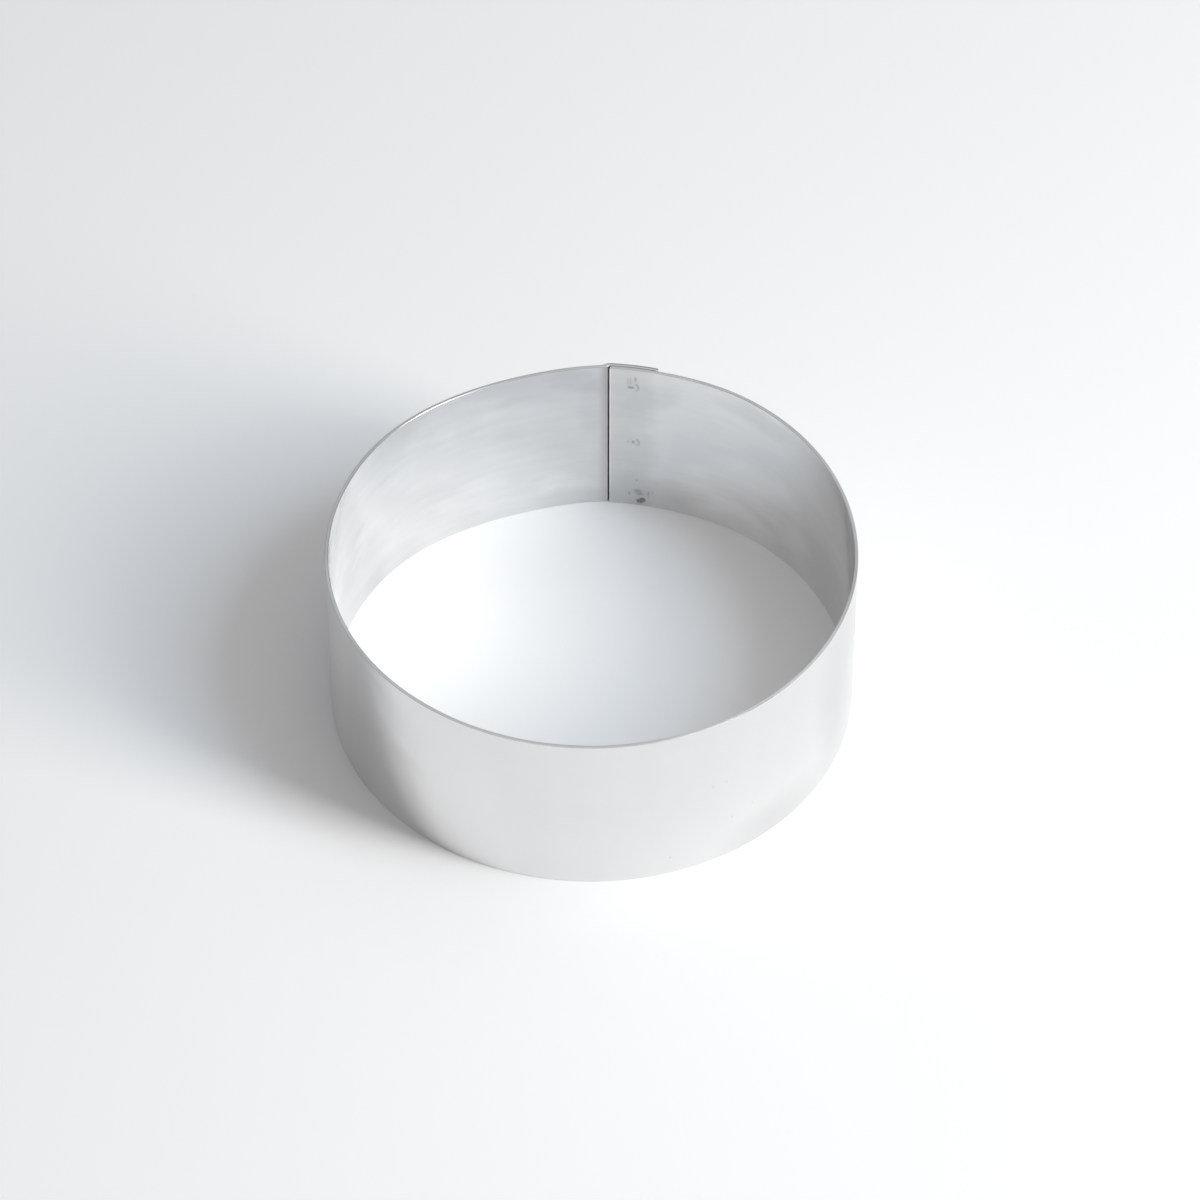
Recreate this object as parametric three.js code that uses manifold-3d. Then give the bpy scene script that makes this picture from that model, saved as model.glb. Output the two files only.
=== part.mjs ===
// Mousse ring: a strip of stainless steel rolled into a ring, its ends lapped and spot-welded.
// Millimetres, +Z up. The origin is the centre of the bore on the plane that the ring stands on.
// The middle of the lap lies on +Y, and angles run clockwise from there, seen from above.

import * as THREE from "three";
import { mergeVertices } from "three/addons/utils/BufferGeometryUtils.js";
import Module from "manifold-3d";

const wasm = await Module();
wasm.setup();

// Driving dimensions
const boreDiameter = 120; // inside of the ring, the diameter of the cake
const bandHeight = 45; // width of the strip
const sheetThickness = 0.8;
const rimRounding = 0.25; // radius of the deburred edges of both rims
const endCornerRadius = 0.9; // rounded corners of the strip's two ends
const lapLength = 12; // from the inner end's edge to the outer end's edge
const lapGap = 0.1; // air between the two layers of the lap
const joggleLength = 2.4; // stretch in which the strip steps out over its inner end
const seamGap = 0.1; // from the end of the joggle to the inner end's edge
const flatDepth = 1.5; // the rolls leave the stretch before the joggle flatter, this far inside the circle
const flatLength = 67; // of that stretch, back from the lap
const swellHeight = 0.7; // and the stretch after the lap stands out a little
const swellLength = 80;
const swingSkew = 0.72; // both go furthest nearer to the lap than to their other end, which 1 would even out
const weldCount = 3; // in one row up the middle of the lap
const lowestWeld = 3.8; // from the bottom rim to the centre of the first weld
const highestWeld = 5; // from the top rim to the centre of the last weld
const nuggetDiameter = 3.6; // fused metal where the layers meet
const nuggetPenetration = 0.5; // share of each layer's thickness that is fused
const nuggetClearance = 0.05; // between a nugget and its pocket in the sheet
const imprintDiameter = 4; // mark of a welding electrode on each face of the lap
const imprintDepth = 0.08;

// Facets
const arcSteps = 144; // round the ring, outside the lap
const joggleSteps = 10;
const lapSteps = 10; // along each layer of the lap
const cornerSteps = 5;
const rimSteps = 2;
const roundSteps = 20; // round a weld
const lensSteps = 8; // from pole to pole of a nugget
const domeSteps = 2; // from the middle to the rim of an imprint

const boreRadius = boreDiameter / 2;
const lapStep = sheetThickness + lapGap;
const ringOutside = boreRadius + sheetThickness;
const lapMeeting = ringOutside + lapGap / 2; // radius midway between the two layers
const lapOutside = ringOutside + lapStep;

// Angles of the strip, from the inner end's edge to the outer end's edge
const lapAngle = lapLength / boreRadius;
const innerEnd = -lapAngle / 2;
const outerEnd = 2 * Math.PI + lapAngle / 2;
const joggleEnd = 2 * Math.PI + innerEnd - seamGap / boreRadius;
const joggleStart = joggleEnd - joggleLength / boreRadius;

// Out and back again, smoothly, from the lap (0) to the far end of an uneven stretch (1)
function swing(share) {
  const skewed = THREE.MathUtils.clamp(share, 0, 1) ** swingSkew;
  return Math.sin(Math.PI * skewed) ** 2;
}

// Middle of the sheet, seen from above: a circle with an uneven stretch on each side of the lap, which steps out
// by one layer along the joggle
class StripLine extends THREE.Curve {
  getPoint(share, target = new THREE.Vector2()) {
    const angle = THREE.MathUtils.lerp(innerEnd, outerEnd, share);
    const pastLap = (angle + innerEnd) * boreRadius;
    const beforeLap = (2 * Math.PI + innerEnd - angle) * boreRadius;
    const uneven = swellHeight * swing(pastLap / swellLength) - flatDepth * swing(beforeLap / flatLength);
    const stepped = lapStep * THREE.MathUtils.smoothstep(angle, joggleStart, joggleEnd);
    const radius = boreRadius + sheetThickness / 2 + uneven + stepped;
    return target.set(radius * Math.sin(angle), radius * Math.cos(angle));
  }
}

const stripLine = new StripLine();

function evenly(from, to, steps) {
  return Array.from({ length: steps }, (_, i) => THREE.MathUtils.lerp(from, to, i / steps));
}

// A closed geometry as a solid, with shared vertices merged and the slivers at its poles left out
function solidOf(geometry) {
  const bare = geometry.clone();
  bare.deleteAttribute("normal");
  bare.deleteAttribute("uv");
  const merged = mergeVertices(bare);
  const corners = merged.index.array;
  const triVerts = [];
  for (let i = 0; i < corners.length; i += 3) {
    const triangle = [corners[i], corners[i + 1], corners[i + 2]];
    if (new Set(triangle).size === 3) triVerts.push(...triangle);
  }
  const vertProperties = new Float32Array(merged.attributes.position.array);
  return new wasm.Manifold(new wasm.Mesh({ numProp: 3, vertProperties, triVerts: new Uint32Array(triVerts) }));
}

function geometryOf(solid) {
  const mesh = solid.getMesh();
  const geometry = new THREE.BufferGeometry();
  geometry.setAttribute("position", new THREE.BufferAttribute(mesh.vertProperties, 3));
  geometry.setIndex(new THREE.BufferAttribute(mesh.triVerts, 1));
  geometry.computeVertexNormals();
  return geometry;
}

// The rolled strip: its plan outline, one sheet thick, raised to the band's height
function rolledStrip() {
  const angles = [
    ...evenly(innerEnd, -innerEnd, lapSteps),
    ...evenly(-innerEnd, joggleStart, arcSteps),
    ...evenly(joggleStart, joggleEnd, joggleSteps),
    ...evenly(joggleEnd, outerEnd, lapSteps),
    outerEnd,
  ];
  const face = (offset) =>
    angles.map((angle) => {
      const share = THREE.MathUtils.inverseLerp(innerEnd, outerEnd, angle);
      const along = stripLine.getTangent(share);
      const outward = new THREE.Vector2(-along.y, along.x);
      return stripLine.getPoint(share).addScaledVector(outward, offset);
    });
  const outline = new THREE.Shape([...face(sheetThickness / 2), ...face(-sheetThickness / 2).reverse()]);
  const strip = new THREE.ExtrudeGeometry(outline, {
    depth: bandHeight - 2 * rimRounding,
    bevelThickness: rimRounding,
    bevelSize: rimRounding,
    bevelOffset: -rimRounding,
    bevelSegments: rimSteps,
  });
  return strip.translate(0, 0, rimRounding);
}

// What is trimmed off the four corners at the strip's ends, each a square with a quarter circle left standing
function cornerTrims() {
  const spare = endCornerRadius;
  const trim = new THREE.Shape();
  trim.moveTo(-spare, -spare);
  trim.lineTo(endCornerRadius, -spare);
  trim.lineTo(endCornerRadius, 0);
  trim.absarc(endCornerRadius, endCornerRadius, endCornerRadius, -Math.PI / 2, -Math.PI, true);
  trim.lineTo(-spare, endCornerRadius);
  const depth = sheetThickness + lapGap;
  const ends = [
    { share: 0, inward: 1 },
    { share: 1, inward: -1 },
  ];
  return ends.flatMap(({ share, inward }) => {
    const along = stripLine.getTangent(share).multiplyScalar(inward);
    const edge = stripLine.getPoint(share);
    return [1, -1].map((upward) => {
      const across = new THREE.Vector3(along.x, along.y, 0);
      const up = new THREE.Vector3(0, 0, upward);
      const through = new THREE.Vector3().crossVectors(across, up);
      const place = new THREE.Matrix4().makeBasis(across, up, through);
      place.setPosition(edge.x, edge.y, upward > 0 ? 0 : bandHeight);
      const cutter = new THREE.ExtrudeGeometry(trim, { depth, bevelEnabled: false, curveSegments: cornerSteps });
      return cutter.translate(0, 0, -depth / 2).applyMatrix4(place);
    });
  });
}

// A weld nugget, flattened along the radius that it lies on
function nuggetLens(clearance) {
  const across = nuggetDiameter / 2 + clearance;
  const along = lapGap / 2 + nuggetPenetration * sheetThickness + clearance;
  return new THREE.SphereGeometry(1, roundSteps, lensSteps).scale(across, along, across);
}

// What an electrode's domed tip presses out of a face, with the face at y = 0 and the metal below it
function imprintDome() {
  const rim = imprintDiameter / 2;
  const domeRadius = (rim ** 2 + imprintDepth ** 2) / (2 * imprintDepth);
  const sweep = Math.asin(rim / domeRadius);
  const dome = new THREE.Path();
  dome.absarc(0, domeRadius - imprintDepth, domeRadius, -Math.PI / 2, -Math.PI / 2 + sweep);
  const profile = [
    ...dome.getPoints(domeSteps),
    new THREE.Vector2(rim, imprintDepth),
    new THREE.Vector2(0, imprintDepth),
  ];
  return new THREE.LatheGeometry(profile, roundSteps);
}

const weldHeights = Array.from({ length: weldCount }, (_, i) => {
  const span = bandHeight - lowestWeld - highestWeld;
  return lowestWeld + (span * i) / (weldCount - 1);
});

// The pocket and the two electrode imprints of one weld
function weldCuts(height) {
  return [
    nuggetLens(nuggetClearance).translate(0, lapMeeting, height),
    imprintDome().translate(0, lapOutside, height),
    imprintDome().rotateX(Math.PI).translate(0, boreRadius, height),
  ];
}

function ringBand() {
  const cuts = [...cornerTrims(), ...weldHeights.flatMap(weldCuts)];
  return geometryOf(cuts.reduce((band, cut) => band.subtract(solidOf(cut)), solidOf(rolledStrip())));
}

const satinSteel = { color: 0xd4d6d8, roughness: 0.32, metalness: 1 };
const fusedSteel = { color: 0xa9a6a2, roughness: 0.5, metalness: 1 };

const group = new THREE.Group();

const band = new THREE.Mesh(ringBand(), new THREE.MeshStandardMaterial(satinSteel));
band.name = "ring_band";
group.add(band);

weldHeights.forEach((height, i) => {
  const nugget = new THREE.Mesh(nuggetLens(0), new THREE.MeshStandardMaterial(fusedSteel));
  nugget.name = `weld_nugget_${i + 1}`;
  nugget.position.set(0, lapMeeting, height);
  group.add(nugget);
});

export default group;
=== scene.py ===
# Mousse ring: a satin steel band with a lapped, spot-welded seam, on a plain white table.
import math

import bpy
import numpy as np
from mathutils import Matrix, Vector


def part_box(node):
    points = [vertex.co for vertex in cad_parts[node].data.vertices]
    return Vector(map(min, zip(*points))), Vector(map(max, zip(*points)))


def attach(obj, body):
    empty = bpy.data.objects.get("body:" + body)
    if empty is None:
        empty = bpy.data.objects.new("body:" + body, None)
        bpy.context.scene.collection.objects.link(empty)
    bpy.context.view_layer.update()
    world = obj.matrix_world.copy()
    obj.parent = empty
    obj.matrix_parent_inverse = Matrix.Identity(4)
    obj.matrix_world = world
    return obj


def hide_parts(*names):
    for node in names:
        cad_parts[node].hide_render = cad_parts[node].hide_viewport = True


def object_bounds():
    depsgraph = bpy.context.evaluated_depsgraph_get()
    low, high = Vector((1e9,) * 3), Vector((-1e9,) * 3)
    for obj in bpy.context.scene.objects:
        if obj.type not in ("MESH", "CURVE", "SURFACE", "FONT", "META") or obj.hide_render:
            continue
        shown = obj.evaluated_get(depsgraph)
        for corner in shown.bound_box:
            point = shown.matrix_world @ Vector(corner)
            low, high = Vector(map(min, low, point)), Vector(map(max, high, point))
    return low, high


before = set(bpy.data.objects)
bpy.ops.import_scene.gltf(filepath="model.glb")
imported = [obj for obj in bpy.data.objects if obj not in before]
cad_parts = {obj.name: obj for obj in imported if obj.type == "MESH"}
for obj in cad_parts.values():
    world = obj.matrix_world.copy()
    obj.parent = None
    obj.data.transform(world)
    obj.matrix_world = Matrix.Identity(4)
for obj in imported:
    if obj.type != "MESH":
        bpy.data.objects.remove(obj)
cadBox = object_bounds()
mm = 0.001
scene = bpy.context.scene
scene.view_settings.view_transform = "Standard"
print("frame loaded:", sorted(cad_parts))


class Wire:  # one socket of a node tree; arithmetic on it adds Math nodes
    def __init__(self, tree, socket=None):
        self.tree = tree
        self.socket = socket

    def make(self, kind, sockets=None, output=0, **settings):
        # Any node: its settings first, then its sockets
        node = self.tree.nodes.new(kind)
        for name, value in settings.items():
            setattr(node, name, value)
        for key, value in (sockets or {}).items():
            if isinstance(value, Wire):
                self.tree.links.new(value.socket, node.inputs[key])
            else:
                node.inputs[key].default_value = value
        return Wire(self.tree, node.outputs[output] if node.outputs else None)

    def math(self, operation, *values):
        return self.make("ShaderNodeMath", dict(enumerate(values)), operation=operation)

    def least(self, other):
        return self.math("MINIMUM", self, other)

    def __add__(self, other):
        return self.math("ADD", self, other)

    def __sub__(self, other):
        return self.math("SUBTRACT", self, other)

    def __rsub__(self, other):
        return self.math("SUBTRACT", other, self)

    def __mul__(self, other):
        return self.math("MULTIPLY", self, other)

    def __truediv__(self, other):
        return self.math("DIVIDE", self, other)

    def __pow__(self, other):
        return self.math("POWER", self, other)

    __radd__ = __add__
    __rmul__ = __mul__

    def rise(self, start, end):  # 0 up to start, 1 from end on, smooth between them
        sockets = {"Value": self, "From Min": start, "From Max": end}
        return self.make("ShaderNodeMapRange", sockets, interpolation_type="SMOOTHSTEP")

    def parts(self):  # the three numbers of a vector
        node = self.make("ShaderNodeSeparateXYZ", {"Vector": self}).socket.node
        return [Wire(self.tree, socket) for socket in node.outputs]

    def vector(self, x, y, z):
        return self.make("ShaderNodeCombineXYZ", {"X": x, "Y": y, "Z": z})

    def noise(self, vector, detail, roughness):
        sockets = {"Vector": vector, "Scale": 1.0, "Detail": detail, "Roughness": roughness}
        return self.make("ShaderNodeTexNoise", sockets)

    def blend(self, first, second, mask):  # from one colour to another
        sockets = {"Factor": mask, "A": first, "B": second}
        return self.make("ShaderNodeMix", sockets, output="Result", data_type="RGBA")


# The camera's place, and the picture that it is worked out from
shot = {
    "azimuth": 9.7,  # degrees round from the front, towards +X
    "elevation": 46.4,
    "distance": 1.338,  # metres from the middle of the ring
    "focalPixels": 5800,
    "pictureWidth": 1200,
    "sensorWidth": 36,  # millimetres
    "clipping": (0.05, 50),  # metres
    "ringPixel": (591.5, 618.2),  # where the middle of the ring lies in that picture
}


def directionFrom(azimuth, elevation):
    turn = math.radians(azimuth)
    climb = math.radians(elevation)
    return Vector((math.sin(turn) * math.cos(climb), -math.cos(turn) * math.cos(climb), math.sin(climb)))


def placeLooking(thing, place, back):  # its own -Z axis then looks away from back
    thing.rotation_mode = "QUATERNION"
    thing.rotation_quaternion = (-back).to_track_quat("-Z", "Y")
    thing.location = place
    scene.collection.objects.link(thing)


def makeCamera():
    back = directionFrom(shot["azimuth"], shot["elevation"])
    sight = (-back).to_track_quat("-Z", "Y")
    right = sight @ Vector((1, 0, 0))
    up = sight @ Vector((0, 1, 0))
    half = shot["pictureWidth"] / 2
    perPixel = shot["distance"] / shot["focalPixels"]
    ringX, ringY = shot["ringPixel"]
    middle = Vector((0, 0, (cadBox[0].z + cadBox[1].z) / 2))
    aim = middle + (right * (half - ringX) + up * (ringY - half)) * perPixel
    data = bpy.data.cameras.new("camera")
    data.sensor_width = shot["sensorWidth"]
    data.lens = shot["focalPixels"] / shot["pictureWidth"] * data.sensor_width
    data.clip_start, data.clip_end = shot["clipping"]
    camera = bpy.data.objects.new("camera", data)
    placeLooking(camera, aim + back * shot["distance"], back)
    scene.camera = camera


makeCamera()
print("camera placed")


# Soft studio light: a room that is brighter overhead, two softboxes on the right and two weak ones
studio = {
    "roomColour": (0.96, 1.0, 1.055, 1),
    "horizon": 0.0,
    "zenith": 0.36,
    "lampDistance": 1.5,
    "softboxes": {  # degrees round from the front towards +X, degrees up, width, height, watts, colour
        "lowSoftbox": (74.7, 26, 0.4, 0.8, 14.75, (1.08, 1.005, 0.91)),
        "highSoftbox": (79.7, 52, 0.4, 0.6, 7.2, (0.86, 1.005, 1.14)),
        "topSoftbox": (9.7, 80, 1.2, 1.2, 3.1, (1.08, 1.0, 0.92)),
        "backSoftbox": (189.7, 52, 1.2, 0.8, 1.2, (1.0, 1.0, 1.0)),
    },
    "tableColour": (0.97, 0.97, 0.97, 1),
    "tableSize": 6.0,
}


def newMaterial(name):
    material = bpy.data.materials.new(name)
    material.use_nodes = True
    material.node_tree.nodes.clear()
    return material, Wire(material.node_tree)


def makeRoom():
    world = bpy.data.worlds.new("paleRoom")
    world.use_nodes = True
    world.node_tree.nodes.clear()
    room = Wire(world.node_tree)
    height = room.make("ShaderNodeTexCoord").parts()[2]
    strength = studio["horizon"] + (studio["zenith"] - studio["horizon"]) * height.rise(0.0, 1.0)
    glow = room.make("ShaderNodeBackground", {"Color": studio["roomColour"], "Strength": strength})
    room.make("ShaderNodeOutputWorld", {"Surface": glow})
    scene.world = world


def makeSoftbox(name, azimuth, elevation, width, height, watts, colour):
    data = bpy.data.lights.new(name, "AREA")
    data.shape = "RECTANGLE"
    data.size = width
    data.size_y = height
    data.energy = watts
    data.color = colour
    towards = directionFrom(azimuth, elevation)
    placeLooking(bpy.data.objects.new(name, data), towards * studio["lampDistance"], towards)


def makeTable():
    half = studio["tableSize"] / 2
    mesh = bpy.data.meshes.new("table")
    corners = [(-half, -half, 0), (half, -half, 0), (half, half, 0), (-half, half, 0)]
    mesh.from_pydata(corners, [], [(0, 1, 2, 3)])
    material, top = newMaterial("tableWhite")
    paint = top.make("ShaderNodeBsdfDiffuse", {"Color": studio["tableColour"]})
    top.make("ShaderNodeOutputMaterial", {"Surface": paint})
    mesh.materials.append(material)
    table = bpy.data.objects.new("table", mesh)
    scene.collection.objects.link(table)


makeRoom()
for name, settings in studio["softboxes"].items():
    makeSoftbox(name, *settings)
makeTable()
print("studio lit")


# The rolled strip, in metres; its height, radii and welds come from the frame
strip = {
    "sheet": 0.8 * mm,
    "innerRim": 0.14 * mm,  # rounded edges of both rims, inside and outside
    "outerRim": 0.10 * mm,
    "endRadius": 0.28 * mm,  # rounded edges of the strip's two ends
    "cornerRadius": 0.5 * mm,  # rounded corners of those ends
    "lapLength": 12 * mm,
    "lapTrim": 0.6 * mm,  # dressed off the outer end
    "lapDip": 0.2 * mm,  # how far inside the circle the lap lies
    "dipLength": 20 * mm,  # along which the strip comes back to the circle
    "joggleLength": 2.4 * mm,  # where the strip steps out over its inner end
    "bendShare": 0.55,  # of the inner face's step is a gentle bend, and the rest drops into the seam
    "bendPower": 2,
    "dropPower": 16,
    "outerStepLength": 1.6 * mm,  # the outer face steps out within this length
    "joggleLead": 0.3 * mm,  # and has done so this much before the inner face
    "seamGap": 0.1 * mm,
    "flatDepth": 1.5 * mm,  # the rolls leave the stretch before the joggle flatter than the circle
    "flatLength": 67 * mm,
    "swellHeight": 0.7 * mm,  # and the stretch after the lap stands out a little
    "swellLength": 80 * mm,
    "swingSkew": 0.72,  # below 1, both go furthest near the lap
    "imprintRadius": 2.0 * mm,  # electrode marks on the faces of the lap
    "imprintDepth": 0.08 * mm,
    "pocketClearance": 0.05 * mm,
    "arcStep": 1.5 * mm,  # spacing of the grid round the ring
    "fineStep": 0.3 * mm,  # and in the lap
    "joggleSteps": 50,
    "joggleCrowding": 1.5,  # above 1, these steps are closer towards the seam
    "rimRows": (0, 0.08, 0.25, 0.6, 1.2),  # millimetres from a rounded rim to the first rows of a face
    "weldRows": (2.4, 17),  # millimetres each way from a weld, and the rows between them
    "evenRows": 32,  # on the rest of a face
    "leastRow": 0.5 * mm,  # between one of these and the closer ones
    "roundSteps": 6,  # steps of each rounded edge
}

bandLow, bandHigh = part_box("ring_band")
bandHeight = bandHigh.z - bandLow.z
ringOutside = -bandLow.y
lapStep = bandHigh.y - ringOutside
boreRadius = ringOutside - strip["sheet"]
nuggetNames = [name for name in sorted(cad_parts) if name.startswith("weld_nugget")]
nuggetBoxes = [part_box(name) for name in nuggetNames]
weldHeights = np.array([(low.z + high.z) / 2 for low, high in nuggetBoxes])
nuggetRadius = (nuggetBoxes[0][1].z - nuggetBoxes[0][0].z) / 2
nuggetDepth = (nuggetBoxes[0][1].y - nuggetBoxes[0][0].y) / 2
lapGap = lapStep - strip["sheet"]
lapAngle = strip["lapLength"] / boreRadius
innerEnd = -lapAngle / 2  # angles run clockwise from the middle of the lap, seen from above
outerEnd = 2 * math.pi + lapAngle / 2 - strip["lapTrim"] / boreRadius
joggleEnd = 2 * math.pi + innerEnd - strip["seamGap"] / boreRadius
joggleStart = joggleEnd - strip["joggleLength"] / boreRadius


def stripAngles():
    # Places along the strip: quarter circles at its ends, close in the lap and the joggle, even elsewhere
    quarter = 1 - np.cos(np.linspace(0, math.pi / 2, strip["roundSteps"] + 1))
    tips = np.concatenate([strip["endRadius"] * quarter, strip["cornerRadius"] * quarter]) / boreRadius
    fine = strip["fineStep"] / boreRadius
    wide = strip["arcStep"] / boreRadius
    innerLap = np.arange(innerEnd + tips.max(), -innerEnd, fine)
    outerLap = np.arange(joggleEnd, outerEnd - tips.max(), fine)
    first = joggleStart - strip["joggleLead"] / boreRadius
    shares = np.linspace(1, 0, strip["joggleSteps"], endpoint=False) ** strip["joggleCrowding"]
    joggle = joggleEnd - (joggleEnd - first) * shares
    arc = np.linspace(-innerEnd, first, round((first + innerEnd) / wide), endpoint=False)
    places = [innerEnd + tips, innerLap, arc, joggle, outerLap, outerEnd - tips]
    return np.unique(np.concatenate(places).round(9))


def faceHeights(rim):
    # Rows up a face from one rounded rim to the other: close there and round each weld, even between them
    edge = np.array(strip["rimRows"]) * mm
    away, count = strip["weldRows"]
    reach = np.linspace(-away, away, count) * mm
    rows = np.concatenate([rim + edge, bandHeight - rim - edge, (weldHeights[:, None] + reach).ravel()])
    even = np.linspace(rim, bandHeight - rim, strip["evenRows"])
    nearest = np.abs(even[:, None] - rows).min(axis=1)
    rows = np.concatenate([rows, even[nearest > strip["leastRow"]]])
    return np.unique(rows[(rows >= rim) & (rows <= bandHeight - rim)].round(7))


def sectionLoop():
    # Round the sheet's section: up the inner face, over the top rim, down the outer face and back under
    half = strip["sheet"] / 2
    inner = strip["innerRim"]
    outer = strip["outerRim"]
    rows = faceHeights(inner)
    turn = np.linspace(0, math.pi / 2, strip["roundSteps"] + 1)[1:]
    intoRim = -half + inner - inner * np.cos(turn)
    outOfRim = half - outer + outer * np.cos(turn[::-1])
    overInner = bandHeight - inner + inner * np.sin(turn)
    overOuter = bandHeight - outer + outer * np.sin(turn[::-1])
    flat = np.full(rows.size, half)
    outerRows = outer + (rows - inner) * (bandHeight - 2 * outer) / (bandHeight - 2 * inner)
    under = [bandHeight - overOuter[::-1], bandHeight - overInner[::-1]]
    offset = np.concatenate([-flat, intoRim, outOfRim, flat, outOfRim[::-1], intoRim[::-1]])
    height = np.concatenate([rows, overInner, overOuter, outerRows[::-1], *under])
    edges = np.zeros(2 * turn.size)
    face = np.concatenate([-np.ones(rows.size), edges, np.ones(rows.size), edges])
    return offset, height, face


def dome(distance, radius, depth):  # half an ellipse, deepest in the middle
    return depth * np.sqrt(np.clip(1 - (distance / radius) ** 2, 0, None))


def swing(share):  # out and back again, as a squared sine of a power of the share
    return np.sin(math.pi * np.clip(share, 0, 1) ** strip["swingSkew"]) ** 2


def unevenness(angle):
    # How far the strip stands outside its circle: less in the lap and before it, more after it
    pastLap = (angle + innerEnd) * boreRadius
    beforeLap = (2 * math.pi + innerEnd - angle) * boreRadius
    swell = strip["swellHeight"] * swing(pastLap / strip["swellLength"])
    flat = strip["flatDepth"] * swing(beforeLap / strip["flatLength"])
    back = np.clip(pastLap / strip["dipLength"], 0, 1)
    return swell - flat - strip["lapDip"] * (1 - back**2 * (3 - 2 * back))


def bandSurface():
    # Each face is an uneven circle that steps out by one layer along the joggle: the outer as 3t2 - 2t3,
    # and the inner one later, as the sum of a low power of t and a high one. The section lies along the
    # radius between them, and at the strip's ends it shrinks along quarter circles.
    # Faces sink by a shallow cap at each electrode mark, and by half an ellipse at each nugget's pocket.
    angle = stripAngles()[:, None]
    offset, height, face = sectionLoop()
    span = joggleEnd - joggleStart
    share = np.clip((angle - joggleStart) / span, 0, 1)
    stepStart = joggleEnd - (strip["outerStepLength"] + strip["joggleLead"]) / boreRadius
    early = np.clip((angle - stepStart) * boreRadius / strip["outerStepLength"], 0, 1)
    bend = strip["bendShare"]
    innerStep = bend * share ** strip["bendPower"] + (1 - bend) * share ** strip["dropPower"]
    outerStep = early**2 * (3 - 2 * early)
    layer = lapStep - strip["lapDip"]
    innerFace = boreRadius + unevenness(angle) + layer * innerStep
    outerFace = ringOutside + unevenness(angle) + layer * outerStep
    middle = (innerFace + outerFace) / 2

    fromEnd = np.clip(np.minimum(angle - innerEnd, outerEnd - angle), 0, None) * boreRadius
    corner = strip["cornerRadius"]
    inCorner = np.clip(corner - fromEnd, 0, None)
    trim = corner - np.sqrt(corner**2 - inCorner**2)
    tip = strip["endRadius"]
    inTip = np.clip(tip - fromEnd, 0, None)
    thin = 1 - (tip - np.sqrt(tip**2 - inTip**2)) / (strip["sheet"] / 2)
    level = trim + height * (1 - 2 * trim / bandHeight)

    outerLayer = angle > math.pi
    fromMiddle = np.where(outerLayer, angle - 2 * math.pi, angle) * middle
    sink = np.zeros((angle.size, offset.size))
    showing = np.where(outerLayer, face > 0, face < 0)
    for weldHeight in weldHeights:
        distance = np.hypot(fromMiddle, level - weldHeight)
        mark = strip["imprintDepth"] * np.clip(1 - (distance / strip["imprintRadius"]) ** 2, 0, None)
        clear = strip["pocketClearance"]
        lens = dome(distance, nuggetRadius + clear, nuggetDepth + clear)
        toFace = lapGap / 2 + np.where(outerLayer, -1, 1) * strip["lapDip"]
        pocket = np.clip(lens - toFace, 0, None) * (lens > 0)
        sink += np.where(showing, mark, pocket) * (face != 0)

    radius = middle + offset * thin * (outerFace - innerFace) / strip["sheet"] - face * sink
    points = np.stack([radius * np.sin(angle), radius * np.cos(angle), level + 0 * radius], axis=-1)
    along = ((angle - innerEnd) * boreRadius).ravel()
    around = np.hypot(np.diff(offset, append=offset[0]), np.diff(height, append=height[0])).cumsum()
    return points, along, np.concatenate([[0], around])


def bandFaces(stations, loop):
    # Quads between neighbouring sections, then a ladder of quads across the sheet at each end
    row, column = np.meshgrid(np.arange(stations - 1), np.arange(loop), indexing="ij")
    rows = np.stack([row, row + 1, row + 1, row], -1).reshape(-1, 4)
    columns = np.stack([column, column, column + 1, column + 1], -1).reshape(-1, 4)
    rung = np.arange(loop // 2)
    innerSide = (rung - strip["roundSteps"]) % loop
    outerSide = (-1 - strip["roundSteps"] - rung) % loop
    ladder = np.stack([innerSide[:-1], innerSide[1:], outerSide[1:], outerSide[:-1]], -1)
    rows = np.concatenate([rows, 0 * ladder, 0 * ladder + stations - 1])
    return rows, np.concatenate([columns, ladder, ladder[:, ::-1]])


def makeBand():
    points, along, around = bandSurface()
    stations, loop = points.shape[:2]
    rows, columns = bandFaces(stations, loop)
    mesh = bpy.data.meshes.new("rolledBand")
    mesh.from_pydata(points.reshape(-1, 3).tolist(), [], (rows * loop + columns % loop).tolist())
    places = np.stack([along[rows], around[columns]], -1)  # metres along the strip and round its section
    mesh.uv_layers.new(name="strip").data.foreach_set("uv", places.astype(np.float32).ravel())
    mesh.shade_smooth()
    band = bpy.data.objects.new("rolledBand", mesh)
    scene.collection.objects.link(band)
    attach(band, "root")
    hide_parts("ring_band")
    print("band made:", stations, "by", loop, "points")
    return band


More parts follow.
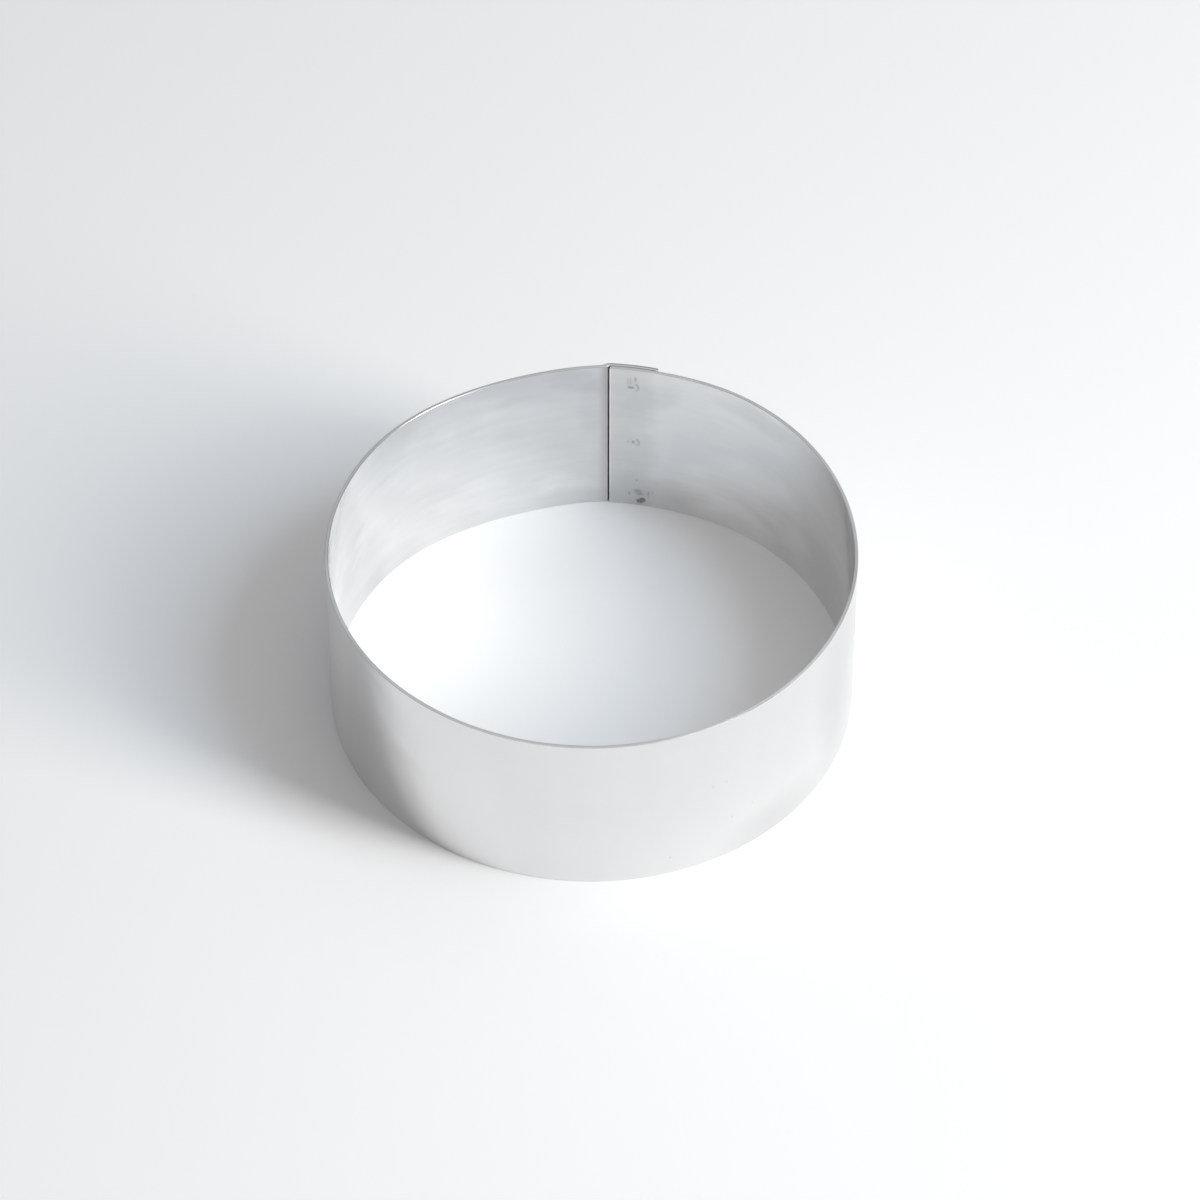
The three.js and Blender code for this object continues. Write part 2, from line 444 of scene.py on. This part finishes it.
# Satin stainless sheet, with its grain along the strip
steel = {
    "bright": (0.93, 0.93, 0.93, 1),
    "dull": (0.66, 0.66, 0.66, 1),
    "roughness": 0.15,
    "roughnessSwing": 0.06,  # of the grain, and of the clouds
    "rimRoughness": 0.15,  # added on both rims
    "rimFade": (0.1 * mm, 0.2 * mm),  # from either end of the height
    "anisotropic": 0.6,
    "anisotropicTurn": 0.25,  # of a full turn
    "grainDepth": 0.0004 * mm,
    "waveDepth": 0.18 * mm,
    "lineTone": 0.25,  # of the grain, and of the streaks
    "lineStrength": (0.3, 0.7),  # outside the ring, and what the inside adds
    "cloudStrength": (0.1, 0.25),
    "bandStrength": 0.12,
    "insideFade": 0.1 * mm,
    "edgeHighlightTone": 0.4,  # painted highlight along the inner end's edge
    "edgeFade": (0.2 * mm, 0.5 * mm),
    "creviceGrimeAndShadeColour": (0.42, 0.30, 0.26, 1),  # unpolished metal inside the lap, with painted shade of the seam's crack
    "creviceReach": 0.50 * mm,  # how far it shows in front of the lap
    "creviceStart": 0.3,  # where it starts in a rounded corner, as a share of the corner's radius
    "creviceRoughness": 0.3,
    "bendShadeColour": (0.62, 0.585, 0.57, 1),  # painted shade on the joggle's bend before the lap
    "bendReach": 2.6 * mm,
    "bendStrength": (0.35, 0.5),  # and what the streaks add
    "speckColour": (0.45, 0.44, 0.43, 1),
    "speckStrength": 0.5,
    "speckCore": 0.3,  # share of a speck's radius
    "lapRimShadeColour": (0.36, 0.345, 0.34, 1),  # painted shade along the outer edge of the outer end's rims
    "lapRimShadeWidth": 0.38 * mm,
    "lapRimShadeCore": 0.7,  # share of that width
    "lapRimShadeStart": 1 * mm,  # along the strip
    "frontRimShadeColour": (0.14, 0.14, 0.14, 1),  # painted shade along the outer edge of the top rim, darkening the softbox's highlight there
    "frontRimShadeFrom": 114,  # degrees clockwise from the lap
    "frontRimShadeTo": 151,
    "frontRimShadeFade": 18 * mm,
    "frontRimShadeIn": (-0.06 * mm, -0.02 * mm),  # round the section, from where the rim turns down
    "frontRimShadeOut": (0.14 * mm, 0.22 * mm),
}
# Noises of the finish: waves to a metre along the strip and round it, third place, detail, roughness
noises = {
    "grain": (150, 2500, 0.0, 3, 0.5),
    "streaks": (40, 500, 0.3, 2, 0.5),
    "clouds": (28, 60, 0.7, 3, 0.5),
    "bands": (160, 20, 0.2, 2, 0.5),
    "ragged": (50, 110, 0.1, 4, 0.6),
    "grit": (2500, 2500, 0.5, 3, 0.5),
    "waves": (70, 110, 0.9, 2, 0.5),
}
# Painted reflections: soft ovals with ragged edges, painted shade where the tone is below 0 and painted
# highlight where it is above
paintedReflections = {  # degrees clockwise from the lap, height, half width, half height, slope, tone
    "inside": [
        (-2, 20 * mm, 8 * mm, 36 * mm, 0.0, -0.40),
        (4, 36 * mm, 8 * mm, 5 * mm, 0.5, -0.25),
        (4, 5 * mm, 12 * mm, 7 * mm, 0.0, -0.30),
        (26, 16 * mm, 18 * mm, 11 * mm, 0.3, 0.35),
        (58, 10 * mm, 14 * mm, 12 * mm, 0.0, -0.30),
        (30, 41 * mm, 12 * mm, 4 * mm, 0.0, -0.25),
        (70, 36 * mm, 7 * mm, 7 * mm, -1.6, -0.50),
        (-9.5, 32 * mm, 4 * mm, 10 * mm, 0.0, -0.20),
        (-12, 1 * mm, 14 * mm, 5 * mm, -0.1, -0.35),
        (-17, 7 * mm, 8 * mm, 4 * mm, 0.0, 0.20),
        (-27, 32 * mm, 12 * mm, 5 * mm, 0.0, 0.20),
        (-62, 3 * mm, 12 * mm, 5 * mm, 0.0, -0.22),
        (25, 4 * mm, 12 * mm, 6 * mm, 0.0, 0.35),
        (40, 11 * mm, 10 * mm, 5 * mm, 0.0, 0.20),
        (80, 20 * mm, 9 * mm, 30 * mm, 0.0, -0.12),
        (-10, 40 * mm, 12 * mm, 4 * mm, -0.15, -0.25),
        (-35, 9 * mm, 16 * mm, 6 * mm, -0.2, 0.22),
        (-42, 24 * mm, 30 * mm, 11 * mm, -0.45, 0.25),
        (-44, 39 * mm, 14 * mm, 6 * mm, 0.0, 0.30),
        (-78, 4 * mm, 16 * mm, 20 * mm, 0.0, -0.35),
        (-84, 28 * mm, 12 * mm, 18 * mm, 0.0, -0.45),
    ],
    "outside": [
        (92, 20 * mm, 22 * mm, 44 * mm, 0.0, -0.50),
        (124, 0 * mm, 20 * mm, 11 * mm, 0.0, -0.33),
        (198, 8 * mm, 14 * mm, 36 * mm, 0.0, 0.12),
        (231, 10 * mm, 9 * mm, 20 * mm, 0.0, -0.20),
        (245, 42 * mm, 14 * mm, 22 * mm, 0.0, 0.40),
        (285, 45 * mm, 70 * mm, 0.4 * mm, 0.0, -0.60),
        (126, 45 * mm, 32 * mm, 0.4 * mm, 0.0, 0.60),
    ],
    "raggedInside": 2.0,
    "raggedOutside": 0.5,
    "fade": 1.3,  # squared distance, in half widths, at which a painted reflection ends
}
specks = [  # degrees clockwise from the lap, height, radius, on the outside
    (143.6, 24.8 * mm, 0.35 * mm),
    (140.3, 24.8 * mm, 0.30 * mm),
    (133.5, 13.4 * mm, 0.35 * mm),
    (138.8, 12.0 * mm, 0.40 * mm),
    (153.2, 5.3 * mm, 0.35 * mm),
]
# Marks of the welding tool on both faces of the lap, in metres from its middle and from the bottom rim
weldMarks = {
    "smudges": [  # across, height, half width, half height, tone
        (-0.30 * mm, 40.6 * mm, 1.90 * mm, 2.70 * mm, 0.10),
        (-1.60 * mm, 41.0 * mm, 0.25 * mm, 1.60 * mm, 0.45),
        (-0.95 * mm, 41.1 * mm, 0.25 * mm, 1.60 * mm, 0.45),
        (0.25 * mm, 41.9 * mm, 0.32 * mm, 1.20 * mm, 0.85),
        (-0.90 * mm, 39.1 * mm, 1.10 * mm, 0.52 * mm, 0.95),
        (-0.10 * mm, 21.1 * mm, 1.70 * mm, 1.30 * mm, 0.14),
        (-0.20 * mm, 21.1 * mm, 0.52 * mm, 0.62 * mm, 0.90),
        (-1.45 * mm, 21.1 * mm, 0.36 * mm, 0.50 * mm, 0.45),
        (1.00 * mm, 4.4 * mm, 2.30 * mm, 1.50 * mm, 0.16),
        (0.90 * mm, 5.0 * mm, 1.30 * mm, 0.36 * mm, 0.95),
        (1.20 * mm, 4.4 * mm, 1.20 * mm, 0.32 * mm, 0.85),
        (1.30 * mm, 3.8 * mm, 1.20 * mm, 0.36 * mm, 0.95),
        (-1.10 * mm, 3.6 * mm, 0.34 * mm, 1.00 * mm, 0.70),
        (3.55 * mm, 4.3 * mm, 0.36 * mm, 1.20 * mm, 0.70),
        (4.60 * mm, 5.0 * mm, 0.32 * mm, 0.90 * mm, 0.40),
        (0.64 * mm, 8.4 * mm, 0.34 * mm, 0.40 * mm, 0.80),
    ],
    "arcs": [  # across, height, radius, half width, tone; the right-hand half of a circle
        (-0.10 * mm, 39.2 * mm, 1.05 * mm, 0.36 * mm, 0.75),
        (0.20 * mm, 21.1 * mm, 1.00 * mm, 0.36 * mm, 0.70),
    ],
    "burns": [  # across, height, half width, half height
        (1.50 * mm, 1.50 * mm, 1.15 * mm, 1.00 * mm),
        (2.15 * mm, 2.05 * mm, 0.95 * mm, 0.90 * mm),
    ],
    "colour": (0.30, 0.30, 0.30, 1),
    "strength": (0.36, 0.36),  # and what the grit adds
    "roughness": 0.15,
    "burnColour": (0.20, 0.16, 0.135, 1),
    "burnStrength": (0.55, 0.35),
    "burnRoughness": 0.2,
    "grit": (0.3, 0.65),  # range of the noise
    "lapSide": (0.9, 0.95),  # shares of the bore's radius towards the lap
    "smudgeCore": 0.2,  # squared shares of the half widths
    "arcCore": 0.1,
    "arcOpening": 0.6,  # share of the radius along which an arc fades in
}


def smudge(x, z, across, height, halfWidth, halfHeight):  # a soft oval, 1 in the middle
    wide = (x - across) / halfWidth
    tall = (z - height) / halfHeight
    return 1 - (wide * wide + tall * tall).rise(weldMarks["smudgeCore"], 1.0)


def paintedReflection(u, z, ragged, angle, height, halfWidth, halfHeight, slope, tone):
    # A soft oval of painted reflection, sheared by the slope, with an edge that noise makes ragged
    along = (math.radians(angle) - innerEnd) % (2 * math.pi) * boreRadius
    wide = (u - along) / halfWidth
    tall = (z - height - slope * (u - along)) / halfHeight
    return (1 - (wide * wide + tall * tall + ragged).rise(0.0, paintedReflections["fade"])) * tone


def halfRing(x, z, across, height, radius, halfWidth):  # a soft arc, open to the left
    wide = x - across
    tall = z - height
    off = (wide * wide + tall * tall) ** 0.5 - radius
    band = 1 - (off * off / halfWidth**2).rise(weldMarks["arcCore"], 1.0)
    return band * wide.rise(0.0, radius * weldMarks["arcOpening"])


def total(wires):
    return wires[0] if len(wires) == 1 else wires[0] + total(wires[1:])


def satinSteel():
    material, surface = newMaterial("satinSteel")
    u, v, _ = surface.make("ShaderNodeUVMap", uv_map="strip").parts()
    place = surface.make("ShaderNodeTexCoord", output="Object")
    x, y, z = place.parts()
    faceTop = bandHeight - 2 * strip["innerRim"]
    inside = 1 - v.rise(faceTop, faceTop + steel["insideFade"])
    near, far = steel["rimFade"]
    rims = 1 - z.rise(near, far) + z.rise(bandHeight - far, bandHeight - near)

    def noise(name):
        along, around, third, detail, roughness = noises[name]
        return surface.noise(surface.vector(u * along, v * around, third), detail, roughness)

    def strength(pair, mask):
        return pair[0] + pair[1] * mask

    # Grain and streaks run along the strip, and the clouds are where the polish varies
    grain = noise("grain")
    streaks = noise("streaks")
    clouds = noise("clouds")
    lines = (grain - 0.5) * steel["lineTone"] + (streaks - 0.5) * steel["lineTone"]
    tone = 0.5 + lines * strength(steel["lineStrength"], inside)
    tone = tone + (clouds - 0.5) * strength(steel["cloudStrength"], inside)
    tone = tone + (noise("bands") - 0.5) * steel["bandStrength"]
    ragged = noise("ragged") - 0.5
    raggedInside = ragged * paintedReflections["raggedInside"]
    raggedOutside = ragged * paintedReflections["raggedOutside"]
    # Painted reflections on the polish's tone: darker and brighter ovals, inside and outside
    tone = tone + total([paintedReflection(u, z, raggedInside, *oval) for oval in paintedReflections["inside"]]) * inside
    tone = tone + total([paintedReflection(u, z, raggedOutside, *oval) for oval in paintedReflections["outside"]]) * (1 - inside)
    # Painted highlight along the inner end's edge, inside the ring
    edge = (1 - u.rise(*steel["edgeFade"])) * inside
    colour = surface.blend(steel["dull"], steel["bright"], tone + edge * steel["edgeHighlightTone"])
    roughness = steel["roughness"] + (grain - 0.5) * steel["roughnessSwing"]
    roughness = roughness + (clouds - 0.5) * steel["roughnessSwing"] + rims * steel["rimRoughness"]

    # Weld marks, only in the lap
    grit = noise("grit").rise(*weldMarks["grit"])
    lapFrom, lapFull = weldMarks["lapSide"]
    inLap = y.rise(boreRadius * lapFrom, boreRadius * lapFull)
    smudges = [shade * smudge(x, z, *oval) for *oval, shade in weldMarks["smudges"]]
    arcs = [shade * halfRing(x, z, *arc) for *arc, shade in weldMarks["arcs"]]
    burnt = total([smudge(x, z, *oval) for oval in weldMarks["burns"]]).least(1.0) * inLap
    marked = total(smudges + arcs) * inLap * strength(weldMarks["strength"], grit)
    colour = surface.blend(colour, weldMarks["colour"], marked)
    burning = burnt * strength(weldMarks["burnStrength"], grit)
    colour = surface.blend(colour, weldMarks["burnColour"], burning)
    roughness = roughness + marked * weldMarks["roughness"] + burnt * weldMarks["burnRoughness"]

    # Specks on the outside
    spots = []
    for angle, height, radius in specks:
        turn = math.radians(angle)
        spot = (ringOutside * math.sin(turn), ringOutside * math.cos(turn), height)
        sockets = {0: place, 1: spot}
        reach = surface.make("ShaderNodeVectorMath", sockets, output="Value", operation="DISTANCE")
        spots.append(1 - reach.rise(radius * steel["speckCore"], radius))
    colour = surface.blend(colour, steel["speckColour"], total(spots) * steel["speckStrength"])

    # Painted shade on the bend before the lap, and the dull metal that the lap hides, with painted shade
    # where the seam's crack shows
    foot = (joggleEnd - innerEnd) * boreRadius - steel["creviceReach"]
    corner = strip["cornerRadius"]
    start = steel["creviceStart"] * corner
    between = z.rise(start, corner) * (1 - z.rise(bandHeight - corner, bandHeight - start))
    # The crevice tone is unpolished metal in the lap and painted shade where the seam's crack shows
    crevice = u.rise(foot, foot + steel["creviceReach"]) * inside * between
    bendShade = u.rise(foot - steel["bendReach"], foot) * inside * strength(steel["bendStrength"], streaks)
    colour = surface.blend(colour, steel["bendShadeColour"], bendShade)
    colour = surface.blend(colour, steel["creviceGrimeAndShadeColour"], crevice)
    roughness = roughness + crevice * steel["creviceRoughness"]

    # Painted shade on the rims' outer edges: along the outer end, and along a stretch of the front rim
    # where it darkens the softbox's highlight
    lapOutside = ringOutside + lapStep - strip["lapDip"]
    radius = (x * x + y * y) ** 0.5
    lapRimShadeWidth = steel["lapRimShadeWidth"]
    lapRimShade = radius.rise(lapOutside - lapRimShadeWidth, lapOutside - steel["lapRimShadeCore"] * lapRimShadeWidth)
    lapRimShade = lapRimShade * rims * u.rise(foot, foot + steel["lapRimShadeStart"])
    colour = surface.blend(colour, steel["lapRimShadeColour"], lapRimShade)
    pastRim = v - faceTop - strip["sheet"]
    # Painted shade that darkens the softbox's highlight on a stretch of the front rim's outer edge
    frontRimShade = pastRim.rise(*steel["frontRimShadeIn"]) * (1 - pastRim.rise(*steel["frontRimShadeOut"]))
    frontRimShadeFrom = (math.radians(steel["frontRimShadeFrom"]) - innerEnd) * boreRadius
    frontRimShadeTo = (math.radians(steel["frontRimShadeTo"]) - innerEnd) * boreRadius
    frontRimShade = frontRimShade * u.rise(frontRimShadeFrom, frontRimShadeFrom + steel["frontRimShadeFade"])
    frontRimShade = frontRimShade * (1 - u.rise(frontRimShadeTo - steel["frontRimShadeFade"], frontRimShadeTo))
    colour = surface.blend(colour, steel["frontRimShadeColour"], frontRimShade)

    height = (grain - 0.5) * steel["grainDepth"] + (noise("waves") - 0.5) * steel["waveDepth"]
    normal = surface.make("ShaderNodeBump", {"Strength": 1.0, "Distance": 1.0, "Height": height})
    sheet = surface.make("ShaderNodeBsdfPrincipled", {
        "Base Color": colour,
        "Metallic": 1.0,
        "Roughness": roughness,
        "Anisotropic": steel["anisotropic"],
        "Anisotropic Rotation": steel["anisotropicTurn"],
        "Normal": normal,
    })
    surface.make("ShaderNodeOutputMaterial", {"Surface": sheet})
    return material


# Weld metal, grey and grainy
weld = {
    "light": (0.60, 0.58, 0.55, 1),
    "dark": (0.42, 0.40, 0.37, 1),
    "roughness": 0.5,
    "roughnessSwing": 0.2,
    "grain": 2500.0,  # waves to a metre
    "grainDetail": 3.0,
}


def weldMetal():
    material, surface = newMaterial("weldMetal")
    place = surface.make("ShaderNodeTexCoord", output="Object")
    sockets = {"Vector": place, "Scale": weld["grain"], "Detail": weld["grainDetail"]}
    grit = surface.make("ShaderNodeTexNoise", sockets)
    colour = surface.blend(weld["dark"], weld["light"], grit)
    roughness = weld["roughness"] + (grit - 0.5) * weld["roughnessSwing"]
    metal = surface.make("ShaderNodeBsdfPrincipled", {
        "Base Color": colour,
        "Metallic": 1.0,
        "Roughness": roughness,
    })
    surface.make("ShaderNodeOutputMaterial", {"Surface": metal})
    return material


def dress(thing, material):
    thing.data.materials.clear()
    thing.data.materials.append(material)


dress(makeBand(), satinSteel())
nuggetMetal = weldMetal()
for name in nuggetNames:
    dress(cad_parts[name], nuggetMetal)
print("finishes made")
